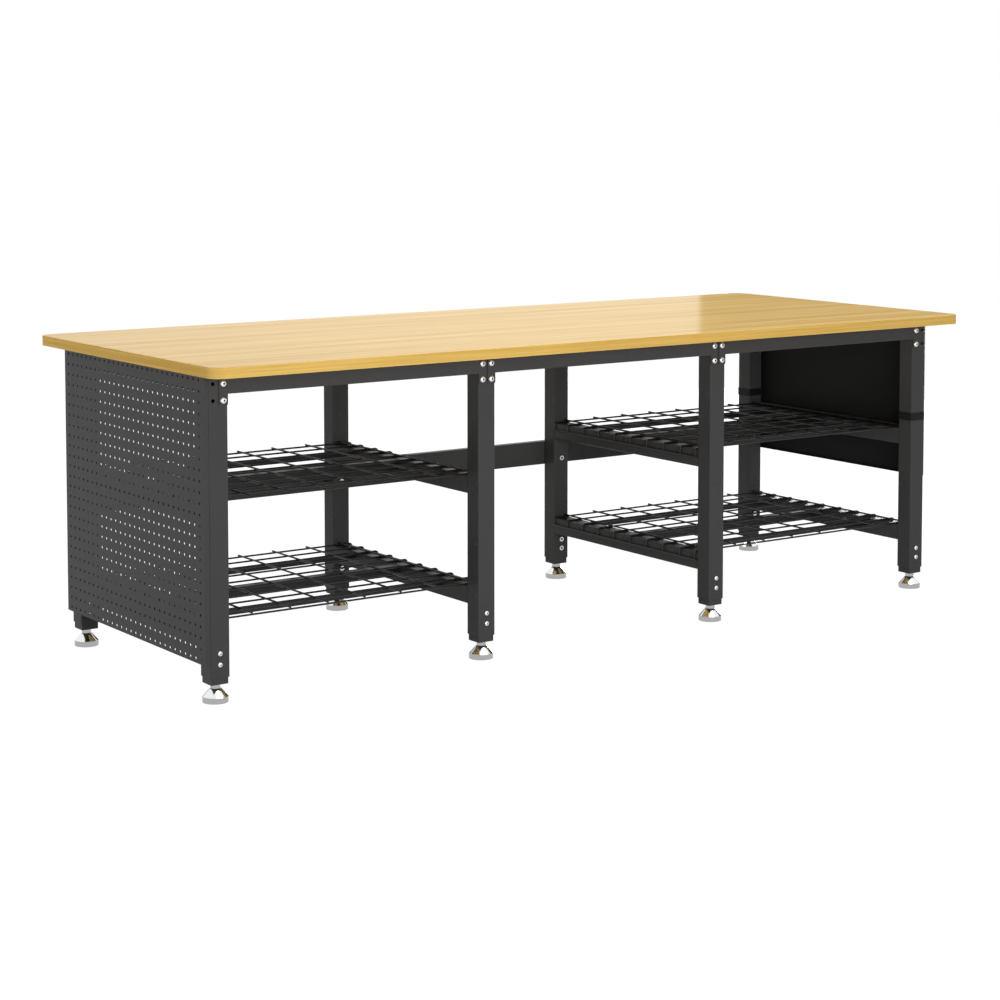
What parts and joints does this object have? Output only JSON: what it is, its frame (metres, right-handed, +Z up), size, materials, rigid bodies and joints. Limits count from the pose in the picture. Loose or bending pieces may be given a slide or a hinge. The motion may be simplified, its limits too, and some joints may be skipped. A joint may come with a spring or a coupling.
{
  "type": "workbench",
  "caption": "Long workbench with a rounded wooden top on a black steel frame, wire shelves at both ends, a pegboard side panel and telescopic legs on levelling feet.",
  "frame": {"origin": "middle of the bench on the floor, with every leg and foot drawn in", "axes": "+X to the right along the length, +Y to the back, +Z up; the front faces -Y"},
  "size_m": [2.3228, 0.9308, 0.7758],
  "materials": {
    "wood": "satin lacquered board, grain along its length",
    "black_paint": "black semi-gloss powder coat",
    "wire_paint": "black semi-gloss powder coat on wire",
    "strap_rubber": "matte black strap",
    "zinc_bolt": "bright zinc",
    "dark_bolt": "blackened steel",
    "chrome": "bright plated"
  },
  "bodies": {
    "frame": {"worktop": "wood", "back_beam": "black_paint", "pegboard_panel": "black_paint", "side_panel": "black_paint", "front_rail_1": "black_paint", "front_rail_2": "black_paint", "front_rail_3": "black_paint", "rear_rail_1": "black_paint", "rear_rail_2": "black_paint", "rear_rail_3": "black_paint", "side_rails_1": "black_paint", "side_rails_2": "black_paint", "side_rails_3": "black_paint", "side_rails_4": "black_paint", "outer_leg_front_1": "black_paint", "outer_leg_front_2": "black_paint", "outer_leg_front_3": "black_paint", "outer_leg_front_4": "black_paint", "outer_leg_rear_1": "black_paint", "outer_leg_rear_2": "black_paint", "outer_leg_rear_3": "black_paint", "outer_leg_rear_4": "black_paint", "panel_straps": "strap_rubber", "deck_left_lower": "wire_paint", "deck_left_upper": "wire_paint", "deck_right_lower": "wire_paint", "deck_right_upper": "wire_paint", "rail_bolts": "zinc_bolt", "lock_bolts": "zinc_bolt", "lock_nuts": "zinc_bolt", "beam_bolts": "zinc_bolt", "panel_screws": "dark_bolt", "worktop_screws": "dark_bolt"},
    "inner_front_1": {"inner_leg_front_1": "black_paint", "foot_nut_front_1": "chrome"},
    "shoe_front_1": {"foot_front_1": "chrome"},
    "inner_front_2": {"inner_leg_front_2": "black_paint", "foot_nut_front_2": "chrome"},
    "shoe_front_2": {"foot_front_2": "chrome"},
    "inner_front_3": {"inner_leg_front_3": "black_paint", "foot_nut_front_3": "chrome"},
    "shoe_front_3": {"foot_front_3": "chrome"},
    "inner_front_4": {"inner_leg_front_4": "black_paint", "foot_nut_front_4": "chrome"},
    "shoe_front_4": {"foot_front_4": "chrome"},
    "inner_rear_1": {"inner_leg_rear_1": "black_paint", "foot_nut_rear_1": "chrome"},
    "shoe_rear_1": {"foot_rear_1": "chrome"},
    "inner_rear_2": {"inner_leg_rear_2": "black_paint", "foot_nut_rear_2": "chrome"},
    "shoe_rear_2": {"foot_rear_2": "chrome"},
    "inner_rear_3": {"inner_leg_rear_3": "black_paint", "foot_nut_rear_3": "chrome"},
    "shoe_rear_3": {"foot_rear_3": "chrome"},
    "inner_rear_4": {"inner_leg_rear_4": "black_paint", "foot_nut_rear_4": "chrome"},
    "shoe_rear_4": {"foot_rear_4": "chrome"}
  },
  "joints": [
    {"name": "leg_front_1_slide", "type": "slide", "parent": "frame", "child": "inner_front_1", "axis": [0, 0, -1], "range_m": [0, 0.2032]},
    {"name": "foot_front_1_screw", "type": "slide", "parent": "inner_front_1", "child": "shoe_front_1", "axis": [0, 0, -1], "range_m": [0, 0.025]},
    {"name": "leg_front_2_slide", "type": "slide", "parent": "frame", "child": "inner_front_2", "axis": [0, 0, -1], "range_m": [0, 0.2032]},
    {"name": "foot_front_2_screw", "type": "slide", "parent": "inner_front_2", "child": "shoe_front_2", "axis": [0, 0, -1], "range_m": [0, 0.025]},
    {"name": "leg_front_3_slide", "type": "slide", "parent": "frame", "child": "inner_front_3", "axis": [0, 0, -1], "range_m": [0, 0.2032]},
    {"name": "foot_front_3_screw", "type": "slide", "parent": "inner_front_3", "child": "shoe_front_3", "axis": [0, 0, -1], "range_m": [0, 0.025]},
    {"name": "leg_front_4_slide", "type": "slide", "parent": "frame", "child": "inner_front_4", "axis": [0, 0, -1], "range_m": [0, 0.2032]},
    {"name": "foot_front_4_screw", "type": "slide", "parent": "inner_front_4", "child": "shoe_front_4", "axis": [0, 0, -1], "range_m": [0, 0.025]},
    {"name": "leg_rear_1_slide", "type": "slide", "parent": "frame", "child": "inner_rear_1", "axis": [0, 0, -1], "range_m": [0, 0.2032]},
    {"name": "foot_rear_1_screw", "type": "slide", "parent": "inner_rear_1", "child": "shoe_rear_1", "axis": [0, 0, -1], "range_m": [0, 0.025]},
    {"name": "leg_rear_2_slide", "type": "slide", "parent": "frame", "child": "inner_rear_2", "axis": [0, 0, -1], "range_m": [0, 0.2032]},
    {"name": "foot_rear_2_screw", "type": "slide", "parent": "inner_rear_2", "child": "shoe_rear_2", "axis": [0, 0, -1], "range_m": [0, 0.025]},
    {"name": "leg_rear_3_slide", "type": "slide", "parent": "frame", "child": "inner_rear_3", "axis": [0, 0, -1], "range_m": [0, 0.2032]},
    {"name": "foot_rear_3_screw", "type": "slide", "parent": "inner_rear_3", "child": "shoe_rear_3", "axis": [0, 0, -1], "range_m": [0, 0.025]},
    {"name": "leg_rear_4_slide", "type": "slide", "parent": "frame", "child": "inner_rear_4", "axis": [0, 0, -1], "range_m": [0, 0.2032]},
    {"name": "foot_rear_4_screw", "type": "slide", "parent": "inner_rear_4", "child": "shoe_rear_4", "axis": [0, 0, -1], "range_m": [0, 0.025]}
  ]
}
